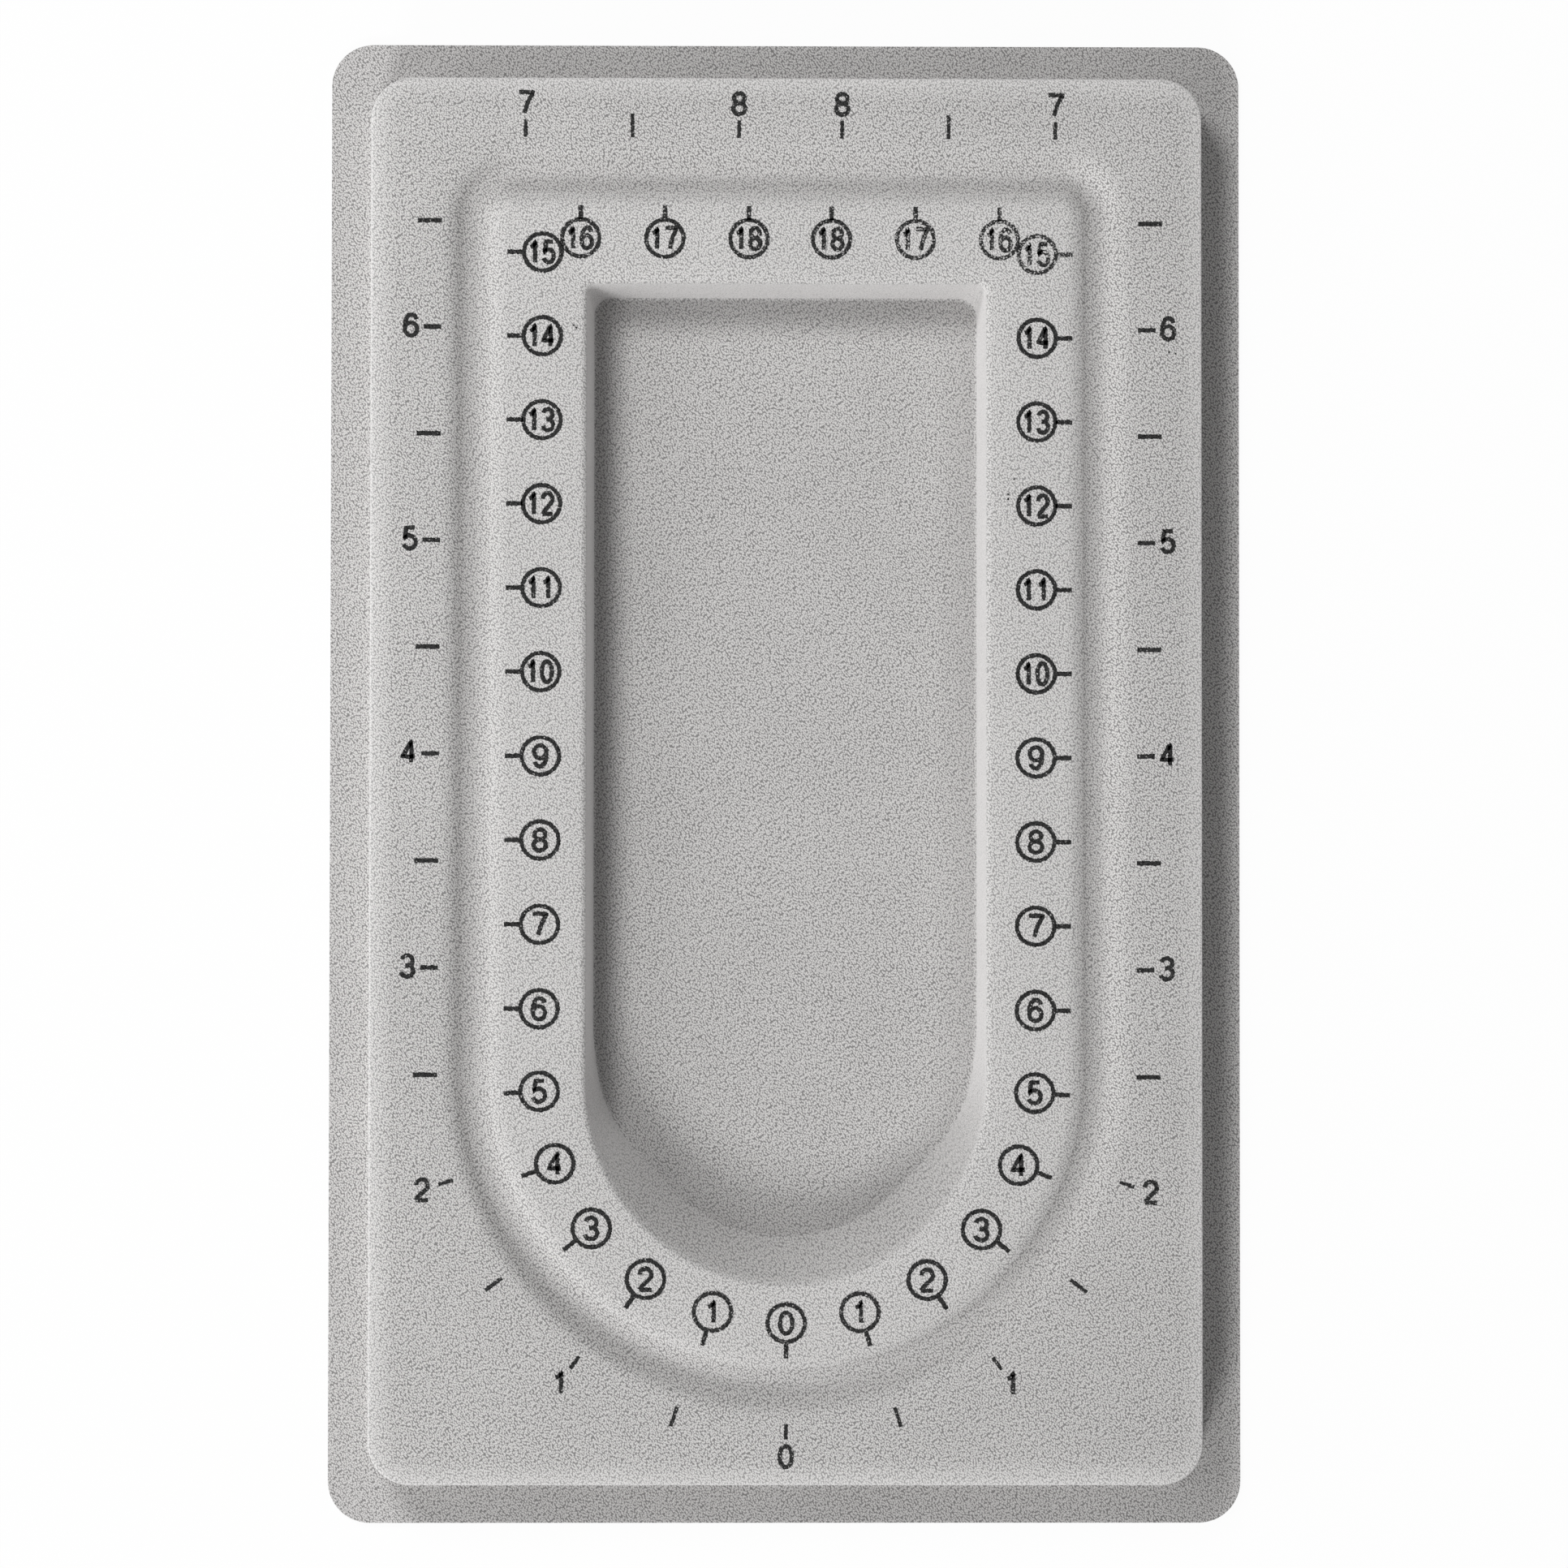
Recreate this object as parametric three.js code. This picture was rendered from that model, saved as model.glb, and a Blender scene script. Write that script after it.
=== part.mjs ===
// A hand-sized bead board: a plastic sheet, flocked on its upper face and vacuum formed into a raised deck on
// a flat rim. A measuring groove runs round the deck, and a bead well is sunk in the middle of it.
// The sheet, its adhesive film and the flock are three bonded layers that follow one shape.
// Millimetres, +Z up, +Y towards the square end of the groove, origin at the centre of the base.

import * as THREE from 'three';
import { mergeVertices } from 'three/addons/utils/BufferGeometryUtils.js';

// Layers, from the underside up
const SHEET_THICKNESS = 0.4;
const ADHESIVE_THICKNESS = 0.08;
const FLOCK_HEIGHT = 0.32;

// Raised deck, measured where its top and its skirt would meet at a sharp edge
const DECK_WIDTH = 98.8;
const DECK_LENGTH = 167;
const DECK_HEIGHT = 10.4;
const DECK_CORNER_RADIUS = 5;
const SKIRT_DRAFT = 2.5;

// Flat rim round the skirt
const RIM_BORDER = 5.2;
const RIM_CORNER_RADIUS = 5;

// Measuring groove, placed by its centreline
const GROOVE_SIDE_MARGIN = 12.3;
const GROOVE_END_MARGIN = 11.8;
const GROOVE_WIDTH = 8;
const GROOVE_DEPTH = 2;
const GROOVE_INNER_CORNER_RADIUS = 0.7;

// Inner deck, from the groove's centreline to the well's opening
const INNER_DECK_SIDE = 12.5;
const INNER_DECK_SQUARE_END = 11.9;
const INNER_DECK_ROUND_END = 11.3;

// Bead well: steep walls whose corners get rounder towards the floor, and a gentler scoop at the round end
const WELL_UNDERSIDE_CLEARANCE = 0.3;
const WELL_LIP_CORNER_RADIUS = 1;
const WELL_FLOOR_CORNER_RADIUS = 1.8;
const WELL_DRAFT = 5;
const SCOOP_DRAFT = 30;
const SCOOP_LEAD = 7;
const SCOOP_BLEND_LENGTH = 25;

// Bend radii, each on the face where it is tightest: edges on the underside, hollows on the flock
const DECK_EDGE_RADIUS = 0.1;
const SKIRT_FOOT_RADIUS = 0.5;
const GROOVE_EDGE_RADIUS = 2;
const WELL_EDGE_RADIUS = 0.1;
const WELL_FLOOR_RADIUS = 0.4;

// Facets along the outlines and across the bends
const CORNER_STEPS = 6;
const ROUND_END_STEPS = 24;
const SCOOP_LEAD_STEPS = 3;
const EDGE_STEPS = 3;
const HOLLOW_STEPS = 2;
const GROOVE_FLOOR_STEPS = 6;

const LAMINATE = SHEET_THICKNESS + ADHESIVE_THICKNESS + FLOCK_HEIGHT;
const GROOVE_HALF_WIDTH = GROOVE_WIDTH / 2;
const GROOVE_REACH = DECK_WIDTH / 2 - GROOVE_SIDE_MARGIN;
const GROOVE_TOP = DECK_LENGTH / 2 - GROOVE_END_MARGIN;
const GROOVE_ROUND_CENTRE = GROOVE_REACH - GROOVE_TOP;
const WELL_REACH = GROOVE_REACH - INNER_DECK_SIDE;
const WELL_TOP = GROOVE_TOP - INNER_DECK_SQUARE_END;
const WELL_ROUND_CENTRE = WELL_REACH - GROOVE_TOP + INNER_DECK_ROUND_END;
const WELL_DEPTH = DECK_HEIGHT - LAMINATE - WELL_UNDERSIDE_CLEARANCE;
const WELL_OPENING_CORNER_RADIUS = WELL_LIP_CORNER_RADIUS + WELL_EDGE_RADIUS + LAMINATE;
const RIGHT_ANGLE = Math.PI / 2;

const { degToRad, lerp, smoothstep } = THREE.MathUtils;

// Points of a cross-section on one bend. Each lies `radius` from the bend's centre along a normal that leans
// outwards by `lean`, so a face at some offset from the flock's outer face only adds to the radius.
// A hollow bend has a negative radius. `rounding` is added to the outline's corner radius there.
function bend(outwards, height, radius, leanFrom, leanTo, steps, rounding = 0) {
  return Array.from({ length: steps + 1 }, (_, step) => ({
    outwards,
    height,
    radius,
    lean: lerp(leanFrom, leanTo, step / steps),
    rounding,
  }));
}

// Cross-section of the skirt, from the rim up to the deck.
function skirtProfile() {
  const slope = RIGHT_ANGLE - degToRad(SKIRT_DRAFT);
  const edgeRadius = DECK_EDGE_RADIUS + LAMINATE;
  const rise = DECK_HEIGHT - LAMINATE;
  const footEnd = rise / Math.tan(slope) + SKIRT_FOOT_RADIUS * Math.tan(slope / 2);
  const edgeEnd = -edgeRadius * Math.tan(slope / 2);
  return [
    ...bend(footEnd, LAMINATE + SKIRT_FOOT_RADIUS, -SKIRT_FOOT_RADIUS, 0, slope, HOLLOW_STEPS),
    ...bend(edgeEnd, DECK_HEIGHT - edgeRadius, edgeRadius, slope, 0, EDGE_STEPS),
  ];
}

// Cross-section of the groove, from its outer edge to its inner edge: three bends tangent to each other.
function grooveProfile() {
  const slope = 2 * Math.atan(GROOVE_DEPTH / GROOVE_HALF_WIDTH);
  const edgeRadius = GROOVE_EDGE_RADIUS + LAMINATE;
  const floorRadius = GROOVE_HALF_WIDTH / Math.sin(slope) - edgeRadius;
  const edgeCentre = DECK_HEIGHT - edgeRadius;
  const floorCentre = DECK_HEIGHT - GROOVE_DEPTH + floorRadius;
  return [
    ...bend(GROOVE_HALF_WIDTH, edgeCentre, edgeRadius, 0, -slope, EDGE_STEPS),
    ...bend(0, floorCentre, -floorRadius, -slope, slope, GROOVE_FLOOR_STEPS).slice(1),
    ...bend(-GROOVE_HALF_WIDTH, edgeCentre, edgeRadius, slope, 0, EDGE_STEPS).slice(1),
  ];
}

// How far the well's floor lies inside its opening where its wall has this draft.
function wellRun(draft) {
  const slope = RIGHT_ANGLE - degToRad(draft);
  const bends = WELL_EDGE_RADIUS + LAMINATE + WELL_FLOOR_RADIUS;
  return bends * Math.tan(slope / 2) + WELL_DEPTH / Math.tan(slope);
}

// 0 along the steep walls, 1 in the scoop. The change starts a little before the sides begin to curve.
function scoopShare(station) {
  const lead = SCOOP_LEAD - Math.max(station.y - WELL_ROUND_CENTRE, 0);
  const turn = Math.asin(Math.max(-station.normalY, 0));
  return smoothstep(lead + WELL_REACH * turn, 0, SCOOP_BLEND_LENGTH);
}

// Cross-section of the well's wall, from its opening down to its floor.
function wellProfile(station) {
  const draft = lerp(WELL_DRAFT, SCOOP_DRAFT, scoopShare(station));
  const slope = RIGHT_ANGLE - degToRad(draft);
  const edgeRadius = WELL_EDGE_RADIUS + LAMINATE;
  const floorCentre = DECK_HEIGHT - WELL_DEPTH + WELL_FLOOR_RADIUS;
  const rounding = WELL_FLOOR_CORNER_RADIUS + wellRun(WELL_DRAFT) - WELL_OPENING_CORNER_RADIUS;
  return [
    ...bend(0, DECK_HEIGHT - edgeRadius, edgeRadius, 0, -slope, EDGE_STEPS),
    ...bend(-wellRun(draft), floorCentre, -WELL_FLOOR_RADIUS, -slope, 0, HOLLOW_STEPS, rounding),
  ];
}

// A station on an outline, with its outward normal. `roundingX` and `roundingY` say how far it moves where
// the corner that it belongs to gets one millimetre rounder between sides that stay in place.
function stationAt(x, y, normalX, normalY) {
  return { x, y, normalX, normalY, roundingX: 0, roundingY: 0 };
}

// Stations on an arc, anticlockwise.
function arcStations(x, y, radius, angleFrom, angleTo, steps) {
  return Array.from({ length: steps + 1 }, (_, step) => {
    const angle = lerp(angleFrom, angleTo, step / steps);
    const normalX = Math.cos(angle);
    const normalY = Math.sin(angle);
    return stationAt(x + radius * normalX, y + radius * normalY, normalX, normalY);
  });
}

// Stations round the corner of an outline in one quarter of the plane.
function cornerStations(x, y, radius, quarter) {
  const start = quarter * RIGHT_ANGLE;
  return arcStations(x, y, radius, start, start + RIGHT_ANGLE, CORNER_STEPS).map((station) => ({
    ...station,
    roundingX: station.normalX - Math.sign(x),
    roundingY: station.normalY - Math.sign(y),
  }));
}

function roundedRectangle(width, length, radius) {
  const x = width / 2 - radius;
  const y = length / 2 - radius;
  const corners = [[x, y], [-x, y], [-x, -y], [x, -y]];
  return corners.flatMap(([cornerX, cornerY], quarter) => cornerStations(cornerX, cornerY, radius, quarter));
}

// An outline with two rounded corners at the square end and a half circle at the round end. `leads` are
// the heights above its centre at which the straight sides have stations too, highest first.
function arch(reach, top, radius, roundCentre, leads) {
  const side = (sign) => leads.map((lead) => stationAt(sign * reach, roundCentre + lead, sign, 0));
  return [
    ...cornerStations(reach - radius, top - radius, radius, 0),
    ...cornerStations(radius - reach, top - radius, radius, 1),
    ...side(-1),
    ...arcStations(0, roundCentre, reach, 2 * RIGHT_ANGLE, 4 * RIGHT_ANGLE, ROUND_END_STEPS),
    ...side(1).reverse(),
  ];
}

function rimOutline() {
  return roundedRectangle(DECK_WIDTH + 2 * RIM_BORDER, DECK_LENGTH + 2 * RIM_BORDER, RIM_CORNER_RADIUS);
}

function deckOutline() {
  return roundedRectangle(DECK_WIDTH, DECK_LENGTH, DECK_CORNER_RADIUS);
}

function grooveOutline() {
  const cornerRadius = GROOVE_HALF_WIDTH + GROOVE_INNER_CORNER_RADIUS;
  return arch(GROOVE_REACH, GROOVE_TOP, cornerRadius, GROOVE_ROUND_CENTRE, []);
}

function wellOutline() {
  const leadAt = (_, step) => SCOOP_LEAD * (1 - step / SCOOP_LEAD_STEPS);
  const leads = Array.from({ length: SCOOP_LEAD_STEPS }, leadAt);
  return arch(WELL_REACH, WELL_TOP, WELL_OPENING_CORNER_RADIUS, WELL_ROUND_CENTRE, leads);
}

// Rings of points where a cross-section is carried round an outline, from the outermost ring inwards.
function sweptRings(stations, profileAt, offset) {
  const columns = stations.map((station) => profileAt(station).map((point) => {
    const reach = point.radius + offset;
    const outwards = point.outwards + reach * Math.sin(point.lean);
    return new THREE.Vector3(
      station.x + outwards * station.normalX + point.rounding * station.roundingX,
      station.y + outwards * station.normalY + point.rounding * station.roundingY,
      point.height + reach * Math.cos(point.lean),
    );
  }));
  return columns[0].map((_, level) => columns.map((column) => column[level]));
}

function rimEdge(offset) {
  return rimOutline().map((station) => new THREE.Vector3(station.x, station.y, LAMINATE + offset));
}

// Triangles between an outer ring and the next ring inside or above it.
function band(outer, inner) {
  return outer.flatMap((point, index) => {
    const next = (index + 1) % outer.length;
    return [[point, outer[next], inner[next]], [point, inner[next], inner[index]]];
  });
}

function bands(rings) {
  return rings.slice(1).flatMap((ring, index) => band(rings[index], ring));
}

// Triangles of a level surface inside one ring and outside the holes, all facing up.
function flat(outer, ...holes) {
  const points = [outer, ...holes].flat();
  const outline = ({ x, y }) => new THREE.Vector2(x, y);
  const faces = THREE.ShapeUtils.triangulateShape(outer.map(outline), holes.map((hole) => hole.map(outline)));
  return faces.map((face) => {
    const [a, b, c] = face.map((index) => points[index]);
    const facesUp = (b.x - a.x) * (c.y - a.y) > (b.y - a.y) * (c.x - a.x);
    return facesUp ? [a, b, c] : [a, c, b];
  });
}

// One whole face of the formed sheet, at an offset from the flock's outer face.
function formedFace(offset) {
  const skirt = sweptRings(deckOutline(), skirtProfile, offset);
  const groove = sweptRings(grooveOutline(), grooveProfile, offset);
  const well = sweptRings(wellOutline(), wellProfile, offset);
  return [
    ...flat(rimEdge(offset), skirt[0]),
    ...bands(skirt),
    ...flat(skirt.at(-1), groove[0]),
    ...bands(groove),
    ...flat(groove.at(-1), well[0]),
    ...bands(well),
    ...flat(well.at(-1)),
  ];
}

// One layer of the laminate: an upper face, a lower face and the trimmed edge of the rim between them.
function layer(name, lowOffset, highOffset, material) {
  const triangles = [
    ...formedFace(highOffset),
    ...formedFace(lowOffset).map(([a, b, c]) => [a, c, b]),
    ...band(rimEdge(lowOffset), rimEdge(highOffset)),
  ];
  const loose = new THREE.BufferGeometry().setFromPoints(triangles.flat());
  const geometry = mergeVertices(loose);
  geometry.computeVertexNormals();
  const mesh = new THREE.Mesh(geometry, material);
  mesh.name = name;
  return mesh;
}

const plastic = new THREE.MeshStandardMaterial({ color: 0x8d8e90, roughness: 0.45, metalness: 0 });
const adhesive = new THREE.MeshStandardMaterial({ color: 0xb5b3ae, roughness: 0.7, metalness: 0 });
const flock = new THREE.MeshStandardMaterial({ color: 0xc3c0bf, roughness: 1, metalness: 0 });

const board = new THREE.Group();
board.add(
  layer('formed_sheet', -LAMINATE, SHEET_THICKNESS - LAMINATE, plastic),
  layer('flock_adhesive', SHEET_THICKNESS - LAMINATE, -FLOCK_HEIGHT, adhesive),
  layer('flock_pile', -FLOCK_HEIGHT, 0, flock),
);

export default board;
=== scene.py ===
"""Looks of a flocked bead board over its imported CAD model, for Blender 4.5."""
import math
from functools import partial
from typing import NamedTuple

import bpy
import numpy as np
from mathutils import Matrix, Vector, geometry


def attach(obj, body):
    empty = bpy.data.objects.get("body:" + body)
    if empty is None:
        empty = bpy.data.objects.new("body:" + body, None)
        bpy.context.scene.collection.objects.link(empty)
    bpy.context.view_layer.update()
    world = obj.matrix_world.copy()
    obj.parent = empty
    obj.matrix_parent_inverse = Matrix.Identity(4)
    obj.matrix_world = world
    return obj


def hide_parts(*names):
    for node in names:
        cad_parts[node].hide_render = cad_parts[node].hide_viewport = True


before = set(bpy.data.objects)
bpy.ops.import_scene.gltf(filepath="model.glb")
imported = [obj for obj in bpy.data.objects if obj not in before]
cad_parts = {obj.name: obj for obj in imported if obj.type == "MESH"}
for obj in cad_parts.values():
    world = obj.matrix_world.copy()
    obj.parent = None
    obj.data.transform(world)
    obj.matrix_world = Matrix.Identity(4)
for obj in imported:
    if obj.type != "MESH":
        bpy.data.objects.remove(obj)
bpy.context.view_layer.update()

MM = 0.001

# Layers of the laminate, from the underside up, in millimetres
SHEET_THICKNESS = 0.4
ADHESIVE_THICKNESS = 0.08
FLOCK_HEIGHT = 0.32
LAMINATE = SHEET_THICKNESS + ADHESIVE_THICKNESS + FLOCK_HEIGHT

# Raised deck and the flat rim round it
DECK_WIDTH = 98.8
DECK_LENGTH = 167
DECK_HEIGHT = 10.4
DECK_CORNER_RADIUS = 5
SKIRT_DRAFT = 2.5
RIM_BORDER = 5.2
RIM_CORNER_RADIUS = 5

# Measuring groove, placed by its centreline
GROOVE_SIDE_MARGIN = 12.3
GROOVE_END_MARGIN = 11.8
GROOVE_HALF_WIDTH = 4
GROOVE_DEPTH = 2
GROOVE_INNER_CORNER_RADIUS = 0.7
GROOVE_CORNER_RADIUS = GROOVE_HALF_WIDTH + GROOVE_INNER_CORNER_RADIUS
GROOVE_REACH = DECK_WIDTH / 2 - GROOVE_SIDE_MARGIN
GROOVE_TOP = DECK_LENGTH / 2 - GROOVE_END_MARGIN
GROOVE_ROUND_CENTRE = GROOVE_REACH - GROOVE_TOP

# Inner deck, from the groove's centreline to the well's opening
INNER_DECK_SIDE = 12.5
INNER_DECK_SQUARE_END = 11.9
INNER_DECK_ROUND_END = 11.3

# Bead well
WELL_UNDERSIDE_CLEARANCE = 0.3
WELL_REACH = GROOVE_REACH - INNER_DECK_SIDE
WELL_TOP = GROOVE_TOP - INNER_DECK_SQUARE_END
WELL_ROUND_CENTRE = WELL_REACH - GROOVE_TOP + INNER_DECK_ROUND_END
WELL_DEPTH = DECK_HEIGHT - LAMINATE - WELL_UNDERSIDE_CLEARANCE
WELL_LIP_CORNER_RADIUS = 1
WELL_FLOOR_CORNER_RADIUS = 1.8
WELL_DRAFT = 5
SCOOP_DRAFT = 30
SCOOP_LEAD = 7
SCOOP_BLEND_LENGTH = 25

# Bend radii, each on the face where it is tightest
DECK_EDGE_RADIUS = 0.1
SKIRT_FOOT_RADIUS = 0.5
GROOVE_EDGE_RADIUS = 2
WELL_EDGE_RADIUS = 0.1
WELL_FLOOR_RADIUS = 0.4
WELL_OPENING_CORNER_RADIUS = WELL_LIP_CORNER_RADIUS + WELL_EDGE_RADIUS + LAMINATE

# Painted highlight: how much paler the flock is painted at an edge, on the shoulder beside it and over the
# inner deck, where its shading normal is also turned up, and how far that reaches onto the deck and down the
# wall. The shoulders lean a little towards their edges, and at the deck's edge the fibres fan out to a
# tighter bend.
DECK_EDGE_HIGHLIGHT = 0.95
DECK_FRINGE_RADIUS = 0.4
DECK_SHOULDER_HIGHLIGHT = 0.3
DECK_SHOULDER_LEAN = math.radians(15)
WELL_EDGE_HIGHLIGHT = 0.2
WELL_SHOULDER_HIGHLIGHT = 0.18
WELL_SHOULDER_LEAN = math.radians(6)
SHOULDER_REACH = 2.5
HIGHLIGHT_DROP = 0.8
SPLAY_RAISE = 0.8
INNER_EDGE_HIGHLIGHT = 0.18
INNER_DECK_HIGHLIGHT = 0.165

# Painted shade: how much darker the flock is painted on the rim, in the groove, low on the well's walls and
# along their foot, and how far it fades out over the well's floor
RIM_PAINTED_SHADE = 0.04
GROOVE_PAINTED_SHADE = 0.23
WALL_PAINTED_SHADE = 0.18
FOOT_PAINTED_SHADE = 0.32
FOOT_SHADE_REACH = 5

# Facets along the outlines and across the bends, and the angle from which an edge is sharp
CORNER_STEPS = 16
ROUND_END_STEPS = 96
SCOOP_LEAD_STEPS = 8
EDGE_STEPS = 8
HOLLOW_STEPS = 8
OVAL_STEPS = 24
SHARP_ANGLE = math.radians(40)

# Printed scales: how the print lies on the deck, and the sizes of its marks
PRINT_SHIFT = (0.229, 0.172)
PRINT_TURN = -0.0029
ARC_CENTRE = -35.34
ARC_FLATNESS = 0.993
TICK_WIDTH = 0.54
FINE_TICK_WIDTH = 0.44
RING_DIAMETER = 4.45
RING_LINE_WIDTH = 0.5
NUMERAL_LINE_WIDTH = 0.52
NUMERAL_HEIGHT = 2.5
NUMERAL_WIDTH = 1.46
PAIRED_NUMERAL_WIDTH = 1.2
PAIRED_NUMERAL_PITCH = 1.76
PAIR_SHIFT = -0.15
CM_RING_REACH = 29.4
CM_TICK_END = 33.6
CM_ARC_PITCH = math.radians(17.25)
CM_ARC_MARKS = 5
CM_LAST_MARK = 15
CM_TOP_MARKS = {16: 24.9, 17: 14.9, 18: 4.9}
CM_PITCH = 9.985
CM_LAST_STRAIGHT = 62.38
CM_TOP_ROW = 64.1
CM_TOP_TICK_END = 68.0
INCH_PITCH = 25.36
INCH_TICK_START = 41.4
INCH_TICK = 2.1
HALF_INCH_TICK = 2.85
INCH_ARC_TICK = 1.8
HALF_INCH_ARC_TICK = 2.45
INCH_ARC_PITCH = math.radians(18.1)
INCH_ARC_HALVES = 4
INCH_LAST_HALF = 13
INCH_TOP_MARKS = ((7, 31.5), (None, 18.8), (8, 6.13))
INCH_NUMERAL_REACH = 45
INCH_NUMERAL_RISE = 0.18
INCH_ARC_NUMERAL_REACH = 45.25
INCH_LAST_STRAIGHT = 66.1
INCH_TOP_ROW = 76.1
INCH_TOP_NUMERALS = 80.2
INK_STEP = 0.14
INK_LIFT = 0.02
INK_SINK = 0.06
INK_RAGGEDNESS = 0.06
STROKE_LIFT = 0.003
STROKE_LEVELS = 4
RIBBON_CORNERS = 4
INK_SPECK = 0.2
INK_SPECKS = [
    (-25.7, 53.7), (-25.4, 53.4), (45.1, 50.8), (45.9, 50.6), (26.7, 35.6), (26.0, 33.8), (26.0, 33.2),
]

# Wear of the print: at 0 it is sound, and nearer 1 more of the nap shows through. The marks of the top row
# have one value for the left side and one for the right.
CM_WEAR = 0.15
CM_LOW_MARKS = 2
CM_LOW_WEAR = 0.35
CM_CORNER_WEAR = 0.7
CM_TOP_WEAR = {16: (0.4, 0.75), 17: (0.35, 0.65), 18: (0.35, 0.4)}
INCH_WEAR = 0.1
INCH_ARC_WEAR = 0.3
INCH_ARC_NUMERAL_WEAR = 0.35
INCH_TOP_WEAR = 0.25
WEAR_GRAIN = 0.22
WEAR_SHARE = 0.2
WEAR_EDGE = (0.68, 0.76)

# Colours, linear
FLOCK_SHADE = (0.25, 0.245, 0.243, 1)
FLOCK_TIP = (0.8, 0.784, 0.778, 1)
# The pale colour of the flock's painted highlight and painted sheen
PAINTED_SHEEN_DIM = (0.8, 0.788, 0.783, 1)
PAINTED_SHEEN_BRIGHT = (1, 0.985, 0.98, 1)
INK_SHADE = (0.012, 0.012, 0.012, 1)
INK_TIP = (0.05, 0.05, 0.05, 1)
SHEEN_TINT = (1, 0.985, 0.975, 1)
PLASTIC_SHADE = (0.235, 0.236, 0.242, 1)
PLASTIC_PALE = (0.285, 0.285, 0.29, 1)
ADHESIVE_SHADE = (0.4, 0.39, 0.37, 1)
ADHESIVE_PALE = (0.5, 0.49, 0.46, 1)
FLOOR_SHADE = (0.9, 0.9, 0.9, 1)
WHITE = (1, 1, 1, 1)

# The flock's fibres as they are seen from above and on steep walls, and how far a wall's normal rises where
# the one look gives way to the other
FIBRE_WIDTH = 0.17
FIBRE_LENGTH = 0.28
FIBRE_TURN = math.radians(-36)
WALL_FIBRE = 0.16
WALL_TIPS = (0.185, 0.995)
WALL_RISE = (0.3, 0.55)

# The flock's paleness from between the fibres to their tips, its broad patches, its painted shade, darker the
# lower it lies from some depth below the deck's top, its painted sheen at a slant, and the shader's own sheen
NAP_RANGE = (0.35, 0.86)
PATCH_SIZE = 16
PATCH_SHARE = 0.08
LOW_SHADE_DEPTH = 1
LOW_SHADE_DARKNESS = 0.04
VELVET_RISE = 3.0
SHEEN = 0.3
SHEEN_ROUGHNESS = 0.5

# The range that most of a noise lies in, and the orange peel's share of the plastic's relief
NOISE_RANGE = (0.3, 0.7)
PEEL_SHARE = 0.4

# Camera and light
CAMERA_PLACE = (-10.4, -24.3, 757.2)
CAMERA_TURN = (1.819, -0.779, 0.05)
CAMERA_LENS = 144.7
LAMPS = {
    "lamp_far": {"place": (-290, 400, 675), "size": 225, "power": 2.7},
    "lamp_near": {"place": (-560, -1610, 1160), "size": 490, "power": 18.9},
    "lamp_low": {"place": (-420, -60, 300), "size": 200, "power": 0.45},
}
FILL_LIGHT = 0.25
FLOOR_WHITE = 0.95
FLOOR_SIZE = 8000
FLOOR_LEVEL = -0.05


def smoothstep(value, low, high):
    share = min(max((value - low) / (high - low), 0), 1)
    return share * share * (3 - 2 * share)


class Section(NamedTuple):
    """A point of a cross-section: a bend's centre, its radius on the flock's outer face (negative in a
    hollow), the lean of the normal there, what is added to the outline's corner radius, and its painted
    light:
    above 0 a painted highlight, where the shading normal is also turned up, and below 0 painted shade."""
    outwards: float
    height: float
    radius: float
    lean: float
    rounding: float = 0
    splay: float = 0


def bend(outwards, height, radius, lean_from, lean_to, steps, rounding=0, painted_light_from=0, painted_light_to=0):
    """Points of a cross-section on one bend, whose normal leans from one angle to another."""
    leans = np.linspace(lean_from, lean_to, steps + 1)
    painted_lights = np.linspace(painted_light_from, painted_light_to, steps + 1)
    return [Section(outwards, height, radius, lean, rounding, splay) for lean, splay in zip(leans, painted_lights)]


def shoulder_drop(lean):
    """How far a shoulder of the deck comes down on its way to the edge."""
    return SHOULDER_REACH * math.tan(lean / 2)


def skirt_profile(edge_radius, _station):
    """From the rim up the skirt and over the deck's edge to the level deck."""
    slope = math.radians(90 - SKIRT_DRAFT)
    foot_end = (DECK_HEIGHT - LAMINATE) / math.tan(slope) + SKIRT_FOOT_RADIUS * math.tan(slope / 2)
    edge_end = -edge_radius * math.tan(slope / 2)
    foot_centre = LAMINATE + SKIRT_FOOT_RADIUS
    # Painted shade on the rim, fading out up the skirt's foot
    foot = bend(foot_end, foot_centre, -SKIRT_FOOT_RADIUS, 0, slope, HOLLOW_STEPS, 0, -RIM_PAINTED_SHADE, 0)
    deck_centre = DECK_HEIGHT - edge_radius
    edge_centre = deck_centre - shoulder_drop(DECK_SHOULDER_LEAN)
    wall = Section(edge_end + HIGHLIGHT_DROP / math.tan(slope), edge_centre - HIGHLIGHT_DROP, edge_radius, slope)
    # Painted highlight over the deck's edge and its shoulder
    edge = bend(edge_end, edge_centre, edge_radius, slope, DECK_SHOULDER_LEAN, EDGE_STEPS, 0,
                DECK_EDGE_HIGHLIGHT, DECK_SHOULDER_HIGHLIGHT)
    shoulder = Section(edge_end - SHOULDER_REACH, deck_centre, edge_radius, 0)
    return foot + [wall] + edge + [shoulder]


def groove_radii():
    """The slope where the groove's bends meet, and the radii of its edges and its floor."""
    slope = 2 * math.atan(GROOVE_DEPTH / GROOVE_HALF_WIDTH)
    edge_radius = GROOVE_EDGE_RADIUS + LAMINATE
    return slope, edge_radius, GROOVE_HALF_WIDTH / math.sin(slope) - edge_radius


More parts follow.
